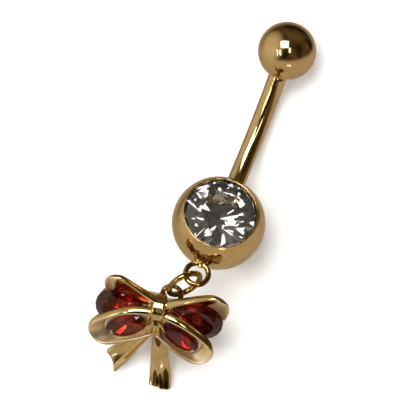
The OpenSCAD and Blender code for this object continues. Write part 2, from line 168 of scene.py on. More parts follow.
# left x, left y, right x, right y, height
RIGHT_TAIL = [(-0.40, -0.90, 0.28, -0.90, 0.75), (-0.42, -2.20, 0.36, -2.20, 0.30),
              (-0.40, -3.50, 0.90, -3.50, -0.35), (-0.36, -4.90, 1.15, -4.90, -0.80),
              (-0.28, -6.30, 1.42, -6.30, -1.00), (-0.18, -7.60, 1.72, -7.60, -1.05),
              (-0.08, -8.65, 1.85, -8.65, -1.05)]
LEFT_TAIL = [(-0.40, -0.90, 0.28, -1.10, 0.70), (-0.95, -2.20, -0.15, -2.60, 0.15),
             (-1.55, -3.45, -0.65, -3.95, -0.55), (-2.50, -4.65, -1.30, -5.30, -1.00),
             (-3.40, -5.55, -2.05, -6.80, -1.15), (-4.20, -6.40, -3.20, -8.45, -1.15)]


def mm(group, name):
    return getattr(group, name) / MM


def turned(axis, degrees):
    return np.array(Matrix.Rotation(math.radians(degrees), 3, axis))


def sind(a):
    return math.sin(math.radians(a))


def cosd(a):
    return math.cos(math.radians(a))


class Layout:
    """Every place on the ring: a pair of a 3x3 turn and a point for each piece's own frame."""

    def __init__(self, scene):
        bar, stones, bow = scene.navel_bar, scene.navel_stones, scene.navel_bow
        self.gem_r, self.top_r, self.bar_r = (mm(bar, n) / 2 for n in ("gem_ball_d", "top_ball_d", "bar_d"))
        self.bend_r = bend_r = mm(bar, "bend_r")
        self.half_bend = math.degrees(math.asin(mm(bar, "bar_length") / 2 / bend_r))
        gem_reach = math.sqrt(self.gem_r ** 2 - self.bar_r ** 2)
        self.top_reach = math.sqrt(self.top_r ** 2 - self.bar_r ** 2)
        c, s = cosd(self.half_bend), sind(self.half_bend)
        bar_start = gem_reach * np.array([c, -s])
        self.bend_centre = bar_start + bend_r * np.array([s, c])
        self.bar_end = self.bend_centre + bend_r * np.array([s, -c])
        top_centre = self.bar_end + self.top_reach * np.array([c, s])
        lie = -math.degrees(math.asin((self.gem_r - self.top_r) / np.linalg.norm(top_centre))
                            + math.atan2(top_centre[1], top_centre[0]))
        self.entry = self.half_bend - lie
        up = np.array([0, 0, self.gem_r])
        self.in_plane = (turned("X", lie), up)
        self.at_crystal = (turned("X", -self.entry), up)
        end = self.place(self.in_plane, np.array([0, self.bar_end[0], self.bar_end[1]]))
        self.at_bar_end = (turned("X", lie) @ turned("X", self.half_bend - 90), end)
        # the crystal's seat
        self.crystal_r = mm(stones, "crystal_d") / 2
        self.rim_r = self.crystal_r + mm(stones, "stone_gap") + mm(stones, "bezel_lip")
        self.rim_height = math.sqrt(self.gem_r ** 2 - self.rim_r ** 2)
        self.girdle_top = self.rim_height - GIRDLE_DROP
        self.girdle_foot = self.girdle_top - mm(stones, "crystal_girdle")
        # the eye, the jump ring and the bow
        eye_r, eye_wire = mm(bar, "eye_r"), mm(bar, "eye_wire_d")
        reach = self.gem_r + eye_r + eye_wire / 2 - EYE_SUNK
        eye = np.array([0, -reach * cosd(self.entry), self.gem_r + reach * sind(self.entry)])
        self.at_eye = (turned("X", -self.entry), eye)
        ring_turn = turned("Z", -RING_TURN) @ turned("X", RING_DROP) @ turned("Y", RING_ROLL)
        self.ring_r = mm(bar, "ring_r")
        self.at_ring = (ring_turn, eye + ring_turn @ np.array([0, -self.ring_r, 0]))
        way = turned("Z", -RING_TURN) @ turned("X", RING_DROP) @ np.array([0, -1, 0])
        bail = eye + 2 * self.ring_r * way
        span = (BAIL_AT[1] - TAIL_FOOT[0], BAIL_AT[2] - TAIL_FOOT[1] + mm(bow, "tail_t") / 2)
        tilt = math.degrees(math.asin(bail[2] / math.hypot(*span)) - math.atan2(span[1], span[0]))
        turn = turned("Z", math.degrees(bow.bow_turn)) @ turned("X", tilt)
        self.in_bow = (turn, bail - turn @ BAIL_AT)

    @staticmethod
    def place(frame_of, points):
        turn, origin = frame_of
        return np.asarray(points) @ turn.T + origin


# Mesh helpers

def joined(forms):
    """Several forms as one. A form is its points, its faces and one material number, or one for each face."""
    points, faces, numbers = [], [], []
    for form_points, form_faces, number in forms:
        faces += [tuple(len(points) + i for i in face) for face in form_faces]
        points += [tuple(p) for p in form_points]
        numbers += number if isinstance(number, list) else [number] * len(form_faces)
    return points, faces, numbers


def mesh_piece(name, form, materials, sharp_degrees):
    """One object from a form in millimetres. With no angle for its sharp edges it keeps flat facets."""
    points, faces, numbers = joined([form])
    mesh = bpy.data.meshes.new(name)
    mesh.from_pydata([tuple(c * MM for c in p) for p in points], [], faces)
    mesh.polygons.foreach_set("material_index", numbers)
    for material in materials:
        mesh.materials.append(material)
    skin = bmesh.new()
    skin.from_mesh(mesh)
    if not sharp_degrees:
        # the four corners of a facet may not lie quite flat
        bmesh.ops.triangulate(skin, faces=[face for face in skin.faces if len(face.verts) == 4])
    bmesh.ops.recalc_face_normals(skin, faces=skin.faces)
    skin.to_mesh(mesh)
    skin.free()
    if sharp_degrees:
        mesh.polygons.foreach_set("use_smooth", [True] * len(mesh.polygons))
        mesh.set_sharp_from_angle(angle=math.radians(sharp_degrees))
    mesh.update()
    piece = bpy.data.objects.new(name, mesh)
    bpy.context.scene.collection.objects.link(piece)
    return piece


def fitted(name, frame_of, form, materials, node, body="bar", sharp_degrees=35.0):
    """A piece set in its place on the ring, where it stands for a solid of the frame."""
    points, faces, numbers = form
    piece = mesh_piece(name, (Layout.place(frame_of, points), faces, numbers), materials, sharp_degrees)
    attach(piece, body)
    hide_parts(node)


def spun(profile, steps):
    """A closed profile of (r, z) points turned about z. A point on the axis becomes one point."""
    points, rings, faces = [], [], []
    for r, z in profile:
        if r < 1e-6:
            rings.append([len(points)])
            points.append((0, 0, z))
        else:
            rings.append(range(len(points), len(points) + steps))
            turns = [2 * math.pi * i / steps for i in range(steps)]
            points += [(r * math.cos(a), r * math.sin(a), z) for a in turns]
    for a, b in zip(rings, rings[1:]):
        for i in range(steps):
            j = (i + 1) % steps
            if len(a) == 1 and len(b) > 1:
                faces.append((a[0], b[i], b[j]))
            elif len(b) == 1 and len(a) > 1:
                faces.append((a[i], a[j], b[0]))
            elif len(a) > 1:
                faces.append((a[i], a[j], b[j], b[i]))
    return np.array(points), faces, 0


def lofted(sections, closed=False):
    """Skin through sections that have as many points each.

    Unless it closes on itself, its two caps are its last faces.
    """
    sections = np.asarray(sections, float)
    count, around = sections.shape[:2]
    faces = []
    for i in range(count if closed else count - 1):
        k = (i + 1) % count
        for j in range(around):
            n = (j + 1) % around
            faces.append((i * around + j, i * around + n, k * around + n, k * around + j))
    if not closed:
        faces.append(tuple(range(around - 1, -1, -1)))
        faces.append(tuple((count - 1) * around + j for j in range(around)))
    return sections.reshape(-1, 3), faces, 0


def round_point(centre, r, a):
    return np.array([centre[0] + r * cosd(a), centre[1] + r * sind(a)])


def arc(centre, r, start, end, steps):
    return [round_point(centre, r, start + (end - start) * i / steps) for i in range(steps + 1)]


def turned_flat(points, degrees, at=(0, 0)):
    """Flat points turned about the origin and then moved."""
    c, s = cosd(degrees), sind(degrees)
    return np.asarray(points) @ np.array([[c, s], [-s, c]]) + np.asarray(at)


def wire_ring(r, wire_r, steps, around, opening=0.0):
    """A ring of round wire about z, with a fine cut where opening, in degrees, is set."""
    sections = []
    last = steps if opening else steps - 1
    for i in range(last + 1):
        a = opening / 2 + (360 - opening) * i / steps
        # both ends of a cut wire are filed a little
        thick = wire_r * (0.86 if opening and i in (0, last) else 1)
        sections.append([((r + thick * cosd(b)) * cosd(a), (r + thick * cosd(b)) * sind(a), thick * sind(b))
                         for b in (360 * j / around for j in range(around))])
    return lofted(sections, closed=not opening)


# Materials

def linear(hex_value):
    parts = [int(hex_value[i:i + 2], 16) / 255 for i in (1, 3, 5)]
    return tuple(c / 12.92 if c <= 0.04045 else ((c + 0.055) / 1.055) ** 2.4 for c in parts) + (1.0,)


def add_node(material, kind, links=(), values=(), **settings):
    """Adds a node to a material or a world.

    links are (its socket, node, that node's socket), values are (its socket, value), and settings are the node's
    properties, or its sockets by name.
    """
    node = material.node_tree.nodes.new(kind)
    for socket, value in values:
        node.inputs[socket].default_value = value
    for name, value in settings.items():
        if hasattr(node, name):
            setattr(node, name, value)
        else:
            node.inputs[name.replace("_", " ")].default_value = value
    for socket, source, output in links:
        material.node_tree.links.new(source.outputs[output], node.inputs[socket])
    return node


def new_material(name):
    material = bpy.data.materials.new(name)
    material.use_nodes = True
    where = add_node(material, "ShaderNodeTexCoord")
    return material, material.node_tree.nodes["Principled BSDF"], where


def set_ramp(node, *stops):
    for element, (position, colour) in zip(node.color_ramp.elements, stops):
        element.position, element.color = position, linear(colour)


def uneven_gloss(material, shader, where, size_mm, low, high, **kind):
    """Roughness that goes from low to high in soft patches of a size."""
    haze = add_node(material, "ShaderNodeTexNoise", [("Vector", where, "Object")], Scale=1 / (size_mm * MM), **kind)
    gloss = add_node(material, "ShaderNodeMapRange", [("Value", haze, "Fac")], [("To Min", low), ("To Max", high)])
    material.node_tree.links.new(gloss.outputs["Result"], shader.inputs["Roughness"])


def polished_gold(name, light, deep, wave_mm, wave_height_mm, roughness):
    """Gold plating on polished steel or cast brass: a mirror with a faint haze of rubbing marks.

    Slow waves from hand polishing bend the reflections, and fine marks soften them a little here and there.
    """
    material, shader, where = new_material(name)
    tone, wave, marks = (
        add_node(material, "ShaderNodeTexNoise", [("Vector", where, "Object")], Scale=1 / (size_mm * MM), **kind)
        for size_mm, kind in (
            (1.4, {"Detail": 3.0, "Roughness": 0.6}),   # patches of thicker plating
            (wave_mm, {"Detail": 1.0}),
            (0.06, {"Detail": 2.0})))                   # marks of some 0.01 mm, drawn wider so that they show
    colour = add_node(material, "ShaderNodeValToRGB", [("Fac", tone, "Fac")])
    set_ramp(colour, (0.3, deep), (0.7, light))
    uneven_gloss(material, shader, where, 0.5, roughness * 0.6, roughness * 1.5, Detail=5.0, Roughness=0.7)
    slow = add_node(material, "ShaderNodeBump", [("Height", wave, "Fac")], Strength=1.0,
                    Distance=wave_height_mm * MM)
    fine = add_node(material, "ShaderNodeBump", [("Height", marks, "Fac"), ("Normal", slow, "Normal")],
                    Strength=0.3, Distance=0.0006 * MM)
    material.node_tree.links.new(colour.outputs["Color"], shader.inputs["Base Color"])
    material.node_tree.links.new(fine.outputs["Normal"], shader.inputs["Normal"])
    shader.inputs["Metallic"].default_value = 1.0


GLASS_IOR = 1.62                  # lead glass, as cut stones for body jewellery are
# painted glint: the red glass is painted orange round this point and fades back to red further off, in place of the
# light that comes back through the stone there
PAINTED_GLINT_AT = (-3.45, -10.75, 4.50)   # in the inner end of the lower left stone, in millimetres
PAINTED_GLINT_FROM, PAINTED_GLINT_TO = 0.325, 1.3   # how far from there the warm tint starts to fade, and where it ends


def cut_glass(name, colour, painted_glint=None):
    """Pressed and polished glass, so its facets are flat and clear and their edges sharp.

    A second colour, a painted glint, is painted into the glass round one point of the lower left stone, in place of
    the light that comes through it there.
    """
    material, shader, where = new_material(name)
    uneven_gloss(material, shader, where, 0.8, 0.0, 0.01, Detail=2.0)
    shader.inputs["Base Color"].default_value = linear(colour)
    if painted_glint:
        # painted glint: orange painted into the glass near one point, fading to the glass's own colour further off
        away = add_node(material, "ShaderNodeVectorMath", [(0, where, "Object")],
                        [(1, [c * MM for c in PAINTED_GLINT_AT])], operation="DISTANCE")
        share = add_node(material, "ShaderNodeMapRange", [("Value", away, "Value")],
                         [("From Min", PAINTED_GLINT_FROM * MM), ("From Max", PAINTED_GLINT_TO * MM)])
        painted_glint_mix = add_node(material, "ShaderNodeMix", [("Factor", share, "Result")],
                        [(6, linear(painted_glint)), (7, linear(colour))], data_type="RGBA")
        material.node_tree.links.new(painted_glint_mix.outputs[2], shader.inputs["Base Color"])
    shader.inputs["Transmission Weight"].default_value = 1.0
    shader.inputs["IOR"].default_value = GLASS_IOR


def silvered_back(name, colour):
    """Silvering painted on the stones' backs, which throws the light out again through the front."""
    material, shader, where = new_material(name)
    uneven_gloss(material, shader, where, 0.35, 0.0, 0.04, Detail=3.0)
    shader.inputs["Base Color"].default_value = linear(colour)
    shader.inputs["Metallic"].default_value = 0.78


# key: name, setting that holds the colour, then the waves' size and height in millimetres and the roughness
GOLDS = {
    # buffed on a wheel until it mirrors the room, with hardly a wave
    "steel": ("gold_plated_steel_mirror_polished", "gold", 3.0, 0.004, 0.10),
    # polished by hand after casting, so the mirror is less even
    "cast": ("gold_plated_brass_cast_polished", "pale", 1.1, 0.012, 0.11),
    # plated straight over the casting's skin, which leaves it rough; its near-white colour is a painted sheen,
    # paler than the plating itself
    "satin_and_painted_sheen": ("gold_plated_brass_as_cast_painted_sheen", "satin_and_painted_sheen", 0.5, 0.02, 0.42),
    # painted reflection: the red that the stone beside it throws onto it is painted into the gold's colour
    "painted_red_reflection": ("gold_plated_brass_painted_red_reflection", "painted_red_reflection", 1.1, 0.012, 0.20),
    # painted shade: the dark seen between bright ridges in the tail's flutes and under the folds is painted into
    # the gold
    "painted_shade": ("gold_plated_brass_painted_shade", "painted_shade", 0.4, 0.012, 0.20),
    # drawn and then plated, smooth and a little darker
    "wire": ("gold_plated_wire_drawn", "wire", 1.6, 0.006, 0.09),
}
# material numbers of the bow's pieces
BOW_COVER = ("cast", "satin_and_painted_sheen", "painted_red_reflection", "painted_shade", "wire")
CAST, SATIN_AND_PAINTED_SHEEN, PAINTED_RED_REFLECTION, PAINTED_SHADE, WIRE = range(5)


def finishes(scene):
    """The materials by their keys, made once and then found by name."""
    made, finish = bpy.data.materials, scene.navel_finish
    names = {key: row[0] for key, row in GOLDS.items()}
    names.update(clear="clear_glass_cut", red="red_glass_cut_painted_glint", foil="silvered_glass_back")
    if names["steel"] not in made:
        for name, setting, *surface in GOLDS.values():
            polished_gold(name, getattr(finish, setting), getattr(finish, setting + "_deep"), *surface)
        cut_glass(names["clear"], finish.clear)
        cut_glass(names["red"], finish.red, finish.painted_glint)
        silvered_back(names["foil"], finish.foil)
    return {key: made[name] for key, name in names.items()}


# Stones

STAR_DEPTH = 0.45       # how far in the crown's middle corners lie, as a share of the way to the table
CRYSTAL_TABLE, CRYSTAL_LOW = 0.55, 0.22
FACETS = 16             # points on the outline of a round or an oval stone
PEAR_FULLNESS = 0.16    # how far a pear's sides bow out


def brilliant(outline, table_share, crown, girdle_top, girdle, pavilion, low_share=0.3):
    """A brilliant cut on a closed outline of 2n points: table, stars, kites, halves, girdle and the facets below.

    The facets below are silvered, so they get material number 1 and the others get 0.
    """
    outline = np.asarray(outline, float)
    count = len(outline)
    half = count // 2
    inner = 1 - (1 - table_share) * STAR_DEPTH
    top, foot = girdle_top + crown, girdle_top - girdle
    spread = cosd(360 / count)
    mid_z = girdle_top + crown * (1 - inner * spread) / (1 - table_share)
    low_z = foot - pavilion * (1 - low_share * spread)

    def ring(share, z, picks):
        return [(outline[i][0] * share, outline[i][1] * share, z) for i in picks]

    even, odd = range(0, count, 2), range(1, count, 2)
    points = (ring(table_share, top, even) + ring(inner, mid_z, odd) + ring(1, girdle_top, range(count))
              + ring(1, foot, range(count)) + ring(low_share, low_z, odd) + [(0, 0, foot - pavilion)])
    mid, rim, base, low = half, 2 * half, 2 * half + count, 2 * half + 2 * count
    culet = low + half
    clear, back = [tuple(range(half))], []
    for i in range(half):
        n, p = (i + 1) % half, (i - 1) % half
        e, o, e2 = 2 * i, 2 * i + 1, (2 * i + 2) % count
        clear += [(i, n, mid + i), (i, mid + i, rim + e, mid + p),
                  (mid + i, rim + o, rim + e), (mid + i, rim + e2, rim + o)]
        back += [(low + i, base + e, base + o), (low + i, base + o, base + e2), (culet, low + p, base + e, low + i)]
    for j in range(count):
        n = (j + 1) % count
        clear.append((rim + j, rim + n, base + n, base + j))
    return np.array(points), clear + back, [0] * len(clear) + [1] * len(back)


def ellipse_outline(half_l, half_w, shift=0.0):
    turns = [360 * (i + shift) / FACETS for i in range(FACETS)]
    return [(half_l * cosd(a), half_w * sind(a)) for a in turns]


def pear_outline(stones):
    """A circle at the origin, a point on the x axis and full sides between them."""
    r = mm(stones, "pear_w") / 2
    reach = mm(stones, "pear_l") - r
    opening = math.degrees(math.acos(r / reach))
    tip = np.array([reach, 0])
    side = round_point((0, 0), r, opening) - tip
    out = np.array([side[1], -side[0]]) / np.linalg.norm(side)
    flank = [tip + side * s + out * PEAR_FULLNESS * 4 * s * (1 - s) for s in (1 / 3, 2 / 3)]
    return np.array([tip] + flank + arc((0, 0), r, opening, 360 - opening, 14) + [p * (1, -1) for p in flank[::-1]])


def pear_aim(x, y, side=1):
    """The way an upper stone points in the bow's plane."""
    return math.degrees(math.atan2(PEAR_AIM[1] - y, side * (PEAR_AIM[0] - x)))


def cut_stone(name, frame_of, outline, cut, glass, foil, node, turn, at=(0, 0)):
    points, faces, numbers = brilliant(outline, *cut)
    points[:, :2] = turned_flat(points[:, :2], turn, at)
    fitted(name, frame_of, (points, faces, numbers), [glass, foil], node, sharp_degrees=None)


# The bow's ribbons

LEG_STEPS, LOOP_STEPS = 24, 60   # along each leg of a loop, and round its end
ROUND_STEPS = 12                 # round each edge of a ribbon
WALL_STEPS = 5                   # faces across each of its sides
EDGE_SLOPE = 0.55                # how far the front edge slopes down to its outer side, as a share of its radius
THIN_SHARE, THIN_STEPS = 0.55, 18   # how much thinner a front edge gets round its loop's tip, and in how many steps
# steps along the loops where the front edges start to thin, and where the upper ones' inner side is left as cast,
# with a painted sheen
UPPER_THIN_FROM, LOWER_THIN_FROM, SATIN_AND_SHEEN_FROM = 48, 36, 44
TUCK_FROM, TUCK_DEPTH = 0.55, 0.95  # the last part of an upper front edge goes down behind its stone
BACK_ROOT_DROP = 0.1                # how much lower an upper loop's back edge starts
DIP_STEPS, DIP_DEPTH = 9, 0.25      # the front edges dive under the knot at both their ends
FLOOR_CORNERS = [(0.12, -2.15), (0.12, -0.75)]   # where a lower floor ends under the knot
WEB_STEPS, WEB_TOP, WEB_THICK, WEB_ROOT = 6, -0.25, 0.2, (0.2, -0.35)
WEB_FIT = 1.03                      # a web's inner edge, as a share of the stone's outline


def touch_angle(root, centre, r, side):
    """The angle at which a line from the root touches a circle on one side."""
    way = np.subtract(centre, root)
    return math.degrees(math.atan2(way[1], way[0])) + side * (90 + math.degrees(math.asin(r / np.linalg.norm(way))))


def leg(a, b, bulge, count, first=0):
    """Points from a to b on a line that bows out."""
    a, b = np.asarray(a, float), np.asarray(b, float)
    out = np.array([a[1] - b[1], b[0] - a[0]]) / np.linalg.norm(b - a)
    shares = [i / count for i in range(first, count + first)]
    return [a + (b - a) * s + out * bulge * 4 * s * (1 - s) for s in shares]


def leaf(root_y, foot_root, centre, r, bulges):
    """A loop's path: a leg from the knot, round the loop's end, and a leg to the foot."""
    root = (ROOT_X, root_y)
    start, foot = touch_angle(root, centre, r, 1), touch_angle(foot_root, centre, r, -1)
    return np.array(leg(root, round_point(centre, r, start), bulges[0], LEG_STEPS)
                    + arc(centre, r, start, foot, LOOP_STEPS)
                    + leg(round_point(centre, r, foot), foot_root, bulges[1], LEG_STEPS, 1))


def eased(points, rounds=30):
    """Takes the small corners out of a path and leaves its ends."""
    points = np.array(points, float)
    for _ in range(rounds):
        points[1:-1] = points[1:-1] * 0.5 + (points[:-2] + points[2:]) * 0.25
    return points


def ribbon_section(front, back, way, front_r, back_r, side):
    """Round front edge, outer side, round back edge, inner side."""
    wide = (front - back) / np.linalg.norm(front - back)
    thick = np.cross(way, wide)
    thick /= np.linalg.norm(thick)
    turns = [k * 180 / ROUND_STEPS for k in range(ROUND_STEPS + 1)]
    front, back = ([at + r * (cosd(start - a) * wide + sind(start - a) * thick) for a in turns]
                   for at, r, start in ((front, front_r, 90), (back, back_r, -90)))
    front = [p - wide * EDGE_SLOPE * front_r * (1 - side * sind(90 - a)) for p, a in zip(front, turns)]
    between = [k / WALL_STEPS for k in range(1, WALL_STEPS)]
    outer = [front[-1] + (back[0] - front[-1]) * s for s in between]
    inner = [back[-1] + (front[0] - back[-1]) * s for s in between]
    return front + outer + back + inner


def smooth_step(t):
    t = min(1.0, max(0.0, t))
    return t * t * (3 - 2 * t)


def ribbon(front, front_z, back, back_z, bow, side, thin_from, satin_and_sheen_from=0):
    """A ribbon between two paths at their heights. Its inner side is left as cast, with a painted sheen, and the
    rest is polished.
    """
    count = len(front)
    dip = [DIP_DEPTH * (1 - smooth_step(min(i, count - 1 - i) / DIP_STEPS)) for i in range(count)]
    front = eased(np.column_stack([front, front_z - np.array(dip)])) * (side, 1, 1)
    back = eased(np.column_stack([back, np.full(count, back_z)])) * (side, 1, 1)
    middle = (front + back) / 2
    full_r, back_r = mm(bow, "edge_d") / 2, mm(bow, "back_edge_d") / 2
    sections = []
    for i in range(count):
        way = middle[min(i + 1, count - 1)] - middle[max(i - 1, 0)]
        way /= np.linalg.norm(way)
        # the front edge is thick along the upper leg and thins out round the tip, flush with the outer side
        thin = smooth_step((i - thin_from) / THIN_STEPS) * THIN_SHARE
        out = np.cross(front[i] - back[i], way) * side
        out /= np.linalg.norm(out)
        sections.append(ribbon_section(front[i] + out * full_r * thin, back[i], way, full_r * (1 - thin), back_r,
                                       side))
    points, faces, _ = lofted(sections)
    around = len(sections[0])
    if side > 0:
        inner = [j >= around - WALL_STEPS - ROUND_STEPS // 2 or j < ROUND_STEPS // 3 for j in range(around)]
    else:
        inner = [ROUND_STEPS * 2 // 3 <= j < ROUND_STEPS + WALL_STEPS + ROUND_STEPS // 2 for j in range(around)]
    numbers = [SATIN_AND_PAINTED_SHEEN if inner[j % around] and j // around >= satin_and_sheen_from else CAST for j in range(len(faces) - 2)]
    return points, faces, numbers + [CAST, CAST]


def wrap_radius(stone_w, scene, clear):
    """From the middle of a stone's round end to the middle of the back edge round it."""
    return stone_w / 2 + mm(scene.navel_stones, "stone_gap") + mm(scene.navel_bow, "back_edge_d") / 2 + clear


def upper_back(side, root_y, scene, steps, first=0):
    """The first leg of an upper loop's back edge, and the radius and the angle at which it meets the stone."""
    root = (ROOT_X, root_y - BACK_ROOT_DROP)
    r = wrap_radius(mm(scene.navel_stones, "pear_w"), scene, UPPER_CLEAR)
    start = touch_angle(root, PEARS[side], r, 1)
    return leg(root, round_point(PEARS[side], r, start), UPPER_BACK_BULGE, steps, first), r, start


def upper_ribbon(row, scene):
    side, root_y, x, y, r, bulge, tuck = row
    centre = PEARS[side]
    back, wrap_r, start = upper_back(side, root_y, scene, LEG_STEPS)
    back += arc(centre, wrap_r, start, tuck, LOOP_STEPS + LEG_STEPS)
    front = leaf(root_y, round_point(centre, wrap_r, tuck), (x, y), r, (bulge, 0))
    dip = np.clip((np.linspace(0, 1, len(front)) - TUCK_FROM) / (1 - TUCK_FROM), 0, 1) ** 2
    return ribbon(front, mm(scene.navel_bow, "loop_front") - TUCK_DEPTH * dip, back, UPPER_BACK, scene.navel_bow,
                  side, UPPER_THIN_FROM, SATIN_AND_SHEEN_FROM)


def lower_back(row, scene):
    """A lower loop's back edge, round the outer end of its oval stone."""
    side, root_y, foot_y, *_, top_bulge, foot_bulge = row
    stones = scene.navel_stones
    x, y, angle = OVALS[side]
    w, l = mm(stones, "oval_w"), mm(stones, "oval_l")
    return leaf(root_y, (ROOT_X, foot_y), round_point((x, y), (l - w) / 2, angle),
                wrap_radius(w, scene, LOWER_CLEAR), (top_bulge, foot_bulge + LOWER_FOOT_CLEAR))


def lower_ribbon(row, scene):
    side, root_y, foot_y, x, y, r, *bulges = row
    front = leaf(root_y, (ROOT_X, foot_y), (x, y), r, bulges)
    return ribbon(front, mm(scene.navel_bow, "loop_front"), lower_back(row, scene), LOWER_BACK, scene.navel_bow,
                  side, LOWER_THIN_FROM)


def plate(outer, inner, top, thick, closed=False):
    """A thin plate between two paths that have as many points each, with its edges left square."""
    sections = [[(*p, top - thick), (*p, top), (*q, top), (*q, top - thick)] for p, q in zip(outer, inner)]
    points, faces, _ = lofted(sections, closed)
    return points, faces


def lower_floor(row, scene):
    """Closes a lower loop's back, up to the hole under its oval stone."""
    side, stones = row[0], scene.navel_stones
    x, y, angle = OVALS[side]
    half = np.array([mm(stones, "oval_l"), mm(stones, "oval_w")]) / 2
    _, _, girdle_top, girdle, pavilion = OVAL_CUT
    hole = 1 - (girdle_top - girdle - FLOOR_TOP) / pavilion + FLOOR_CLEAR
    path = np.vstack([lower_back(row, scene), FLOOR_CORNERS])
    way = turned_flat(path - (x, y), -angle) / half
    way /= np.linalg.norm(way, axis=1, keepdims=True)
    inner = turned_flat(way * hole * half, angle, (x, y))
    return *plate(path * (side, 1), inner * (side, 1), FLOOR_TOP, FLOOR_THICK, closed=True), SATIN_AND_PAINTED_SHEEN


def upper_web(row, scene):
    """Closes an upper loop between its back edge and the stone's long side."""
    side, root_y = row[:2]
    outer, _, _ = upper_back(side, root_y, scene, WEB_STEPS, 1)
    flank = turned_flat(pear_outline(scene.navel_stones) * WEB_FIT, pear_aim(*PEARS[side]), PEARS[side])
    near = [flank[np.argmin(np.linalg.norm(flank - p, axis=1))] for p in outer]
    outer, near = np.array(outer[:1] + outer), np.array([WEB_ROOT] + near)
    # the web's gold carries the painted red reflection of its stone
    return *plate(outer * (side, 1), near * (side, 1), WEB_TOP, WEB_THICK), PAINTED_RED_REFLECTION


# The bow's tails and knot

def smooth_rows(rows, steps):
    """A smooth curve through the rows of a table."""
    rows = np.array(rows, float)
    padded = np.vstack([2 * rows[0] - rows[1], rows, 2 * rows[-1] - rows[-2]])
    out = []
    for i in range(len(rows) - 1):
        p0, p1, p2, p3 = padded[i:i + 4]
        for k in range(steps + (i == len(rows) - 2)):
            t = k / steps
            out.append(0.5 * (2 * p1 + (p2 - p0) * t + (2 * p0 - 5 * p1 + 4 * p2 - p3) * t ** 2
                              + (3 * p1 - p0 - 3 * p2 + p3) * t ** 3))
    return np.array(out)


def bump(u, at, width):
    """A smooth hump of height 1 at one place."""
    return math.exp(-((u - at) / width) ** 2)


# across a tail, u goes from 0 at its left edge to 1 at its right one, and along it s goes from 0 at the knot to 1

def right_tail_rise(u, s):
    """How far the right tail stands proud: rounded across, thicker towards its end, and grooved there."""
    grooves = bump(u, 0.15, 0.05) + 0.8 * bump(u, 0.47, 0.05) + bump(u, 0.76, 0.04)
    pleat = 0.16 * bump(u, 0.90, 0.07) * smooth_step((0.62 - s) / 0.25)
    return (0.42 * (1 - (2 * u - 1) ** 2) + 0.60 * max(0.0, (s - 0.45) / 0.55) ** 2
            - 0.09 * grooves * smooth_step((s - 0.70) / 0.25) + pleat)


def left_tail_rise(u, s):
    """The left tail is a shallow trough between a rolled edge and a higher rolled ridge, and thicker at its end."""
    return (0.36 * bump(u, 0.84, 0.10) + 0.10 * bump(u, 0.06, 0.10) - 0.08 * bump(u, 0.42, 0.22)
            + 0.22 * max(0.0, (s - 0.60) / 0.40) ** 2 - 0.05 * bump(s, 0.88, 0.08) * bump(u, 0.40, 0.2))


def right_tail_end(u):
    return 0.10 * math.cos(2 * math.pi * (u - 0.85)) - 0.21


def left_tail_end(u):
    return 0.05 * math.cos(2 * math.pi * u) - 0.24


# where the painted shade in the right tail's flutes begins and ends across it, and how far along it starts
PAINTED_FLUTE_SHADE = [(0.19, 0.42, 0.735), (0.44, 0.66, 0.76), (0.68, 0.94, 0.70)]
PAINTED_FLUTE_SHADE_END, PAINTED_FLUTE_SHADE_HEAD = 0.985, 0.07   # how far along they end, and how round their heads are
# the middle and half width of the shade painted under the folds, how far down it comes, and how round its foot is
PAINTED_FOLD_SHADE_U, PAINTED_FOLD_SHADE_HALF, PAINTED_FOLD_SHADE_END, PAINTED_FOLD_SHADE_FOOT = 0.50, 0.24, 0.42, 0.10


def in_painted_shade(u, s):
    """Where shade is painted: each flute's band starts with a rounded head, and a patch with a round foot comes
    down from under the folds.
    """
    if s < PAINTED_FOLD_SHADE_END - PAINTED_FOLD_SHADE_FOOT * ((u - PAINTED_FOLD_SHADE_U) / PAINTED_FOLD_SHADE_HALF) ** 2 and abs(u - PAINTED_FOLD_SHADE_U) < PAINTED_FOLD_SHADE_HALF:
        return True
    for first, last, start in PAINTED_FLUTE_SHADE:
        head = start + PAINTED_FLUTE_SHADE_HEAD * ((2 * u - first - last) / (last - first)) ** 2
        if first < u < last and head < s < PAINTED_FLUTE_SHADE_END:
            return True
    return False


TAIL_STEPS = 12     # from one row of a tail's table to the next
# how thick the tail still is at each step of its rounded end, and how far on that step lies
TAIL_TIP = ((0.92, 0.05), (0.7, 0.11), (0.35, 0.15))


